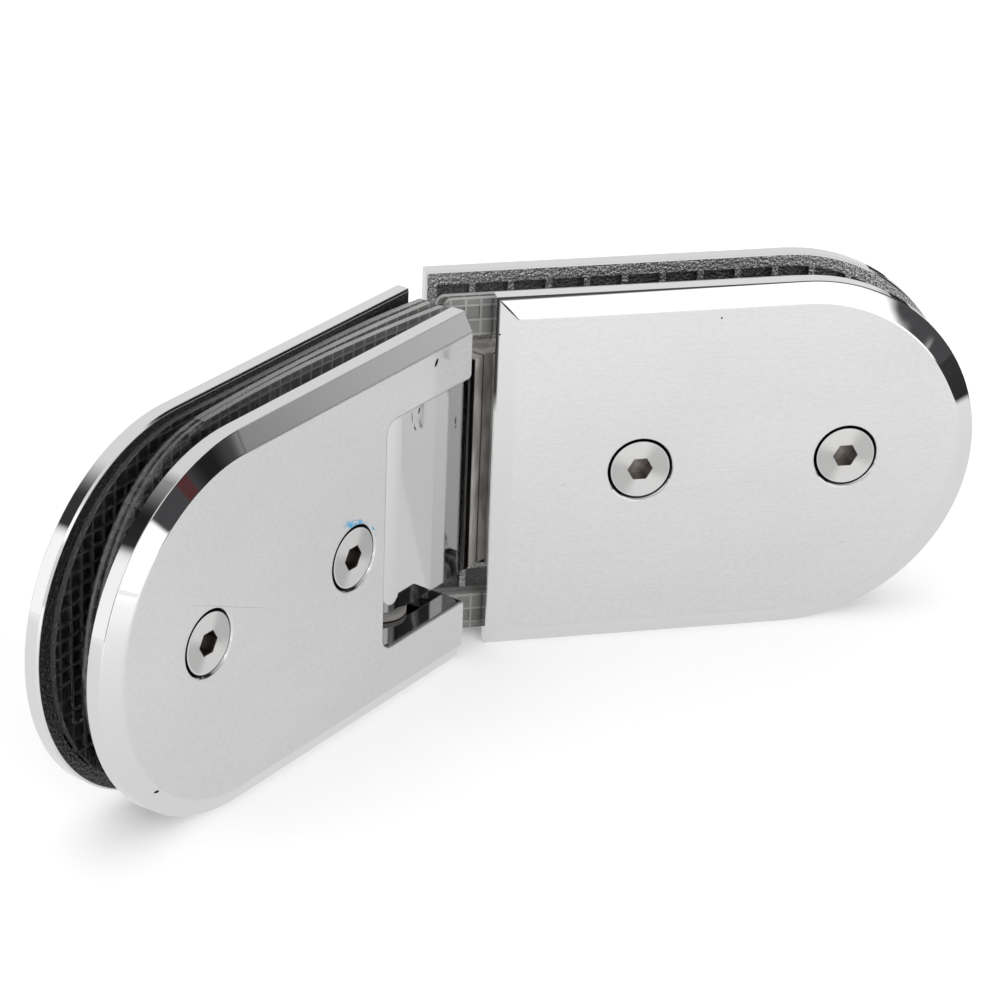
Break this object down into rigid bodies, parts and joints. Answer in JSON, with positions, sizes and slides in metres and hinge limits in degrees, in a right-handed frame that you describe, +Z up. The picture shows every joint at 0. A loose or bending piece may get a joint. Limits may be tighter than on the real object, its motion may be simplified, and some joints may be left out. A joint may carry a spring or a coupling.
{
  "type": "glass door hinge",
  "caption": "Two D-shaped polished leaves that clamp glass panels, joined by a bent pivot block in the notch of the moving leaf.",
  "frame": {"origin": "on the pivot axis, level with the lower edges of the plates", "axes": "+Z up along the pivot axis, +X along the fixed leaf, front of the fixed leaf towards -Y"},
  "size_m": [0.1764, 0.0857, 0.0675],
  "materials": {
    "polished_plate": "polished chrome on cast zinc",
    "cast_plate": "polished chrome outside, rough casting inside",
    "pivot_block": "polished chrome",
    "gasket": "translucent grey PVC sheet",
    "cover_screw": "turned head",
    "bush": "white nylon",
    "pivot_pin": "ground stainless steel",
    "spring": "spring steel",
    "hidden_steel": "zinc-plated steel"
  },
  "bodies": {
    "fixed_leaf": {"fixed_front_plate": "polished_plate", "fixed_back_plate": "cast_plate", "pivot_block": "pivot_block", "fixed_front_gasket": "gasket", "fixed_rear_gasket": "gasket", "fixed_inner_cover_screw": "cover_screw", "fixed_outer_cover_screw": "cover_screw", "upper_block_screw": "hidden_steel", "lower_block_screw": "hidden_steel", "upper_bush": "bush", "lower_bush": "bush", "upper_plunger": "hidden_steel", "lower_plunger": "hidden_steel", "upper_spring": "spring", "lower_spring": "spring", "upper_tension_screw": "hidden_steel", "lower_tension_screw": "hidden_steel"},
    "moving_leaf": {"moving_front_plate": "polished_plate", "moving_back_plate": "cast_plate", "moving_front_gasket": "gasket", "moving_middle_gasket": "gasket", "moving_back_gasket": "gasket", "moving_inner_cover_screw": "cover_screw", "moving_outer_cover_screw": "cover_screw", "pivot_pin": "pivot_pin", "upper_lock_screw": "hidden_steel", "lower_lock_screw": "hidden_steel"}
  },
  "joints": [
    {"name": "leaf_pivot", "type": "hinge", "parent": "fixed_leaf", "child": "moving_leaf", "pos_m": [0, 0, 0.03375], "axis": [0, 0, 1], "range_deg": [-90, 90]}
  ]
}
